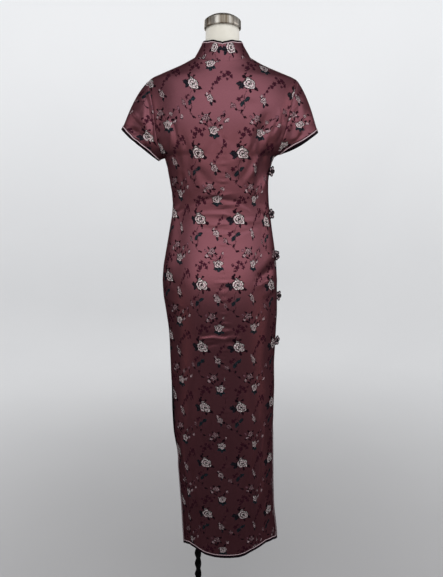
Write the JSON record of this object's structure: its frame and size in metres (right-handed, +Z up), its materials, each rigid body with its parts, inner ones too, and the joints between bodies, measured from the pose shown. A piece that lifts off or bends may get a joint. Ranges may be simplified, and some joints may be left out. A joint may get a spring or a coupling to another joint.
{
  "type": "cheongsam dress on dress form",
  "caption": "Long short-sleeved cheongsam with a standing collar, side slits, satin bindings and flower frogs, worn by a limbless dress form on a twisted pole stand.",
  "frame": {"origin": "centre of the flat underside of the round stand base, on the floor", "axes": "+Z up; the dress front faces -Y and its back +Y; +X is the wearer's left side"},
  "size_m": [0.5071, 0.27, 1.704],
  "materials": {
    "figured_satin": "dusty burgundy satin figured with pale roses and dark leaves",
    "binding_satin": "near-black purple satin bias binding",
    "frog_cord": "dark satin cord",
    "form_cover": "off-white stretched jersey cover",
    "cap_chrome": "polished chrome",
    "stand_iron": "black painted iron"
  },
  "bodies": {
    "root": {"back_left": "figured_satin", "back_right": "figured_satin", "front_panel": "figured_satin", "right_underlap": "figured_satin", "sleeve_left": "figured_satin", "sleeve_right": "figured_satin", "collar": "figured_satin", "back_left_binding": "binding_satin", "back_right_binding": "binding_satin", "front_binding": "binding_satin", "cuff_binding_left": "binding_satin", "cuff_binding_right": "binding_satin", "collar_binding": "binding_satin", "frog_side_1": "frog_cord", "frog_side_2": "frog_cord", "frog_side_3": "frog_cord", "frog_side_4": "frog_cord", "frog_side_5": "frog_cord", "frog_throat": "frog_cord", "frog_slant": "frog_cord", "form_torso": "form_cover", "neck_cap": "cap_chrome", "stand_pole": "stand_iron", "stand_base": "stand_iron"}
  },
  "joints": []
}
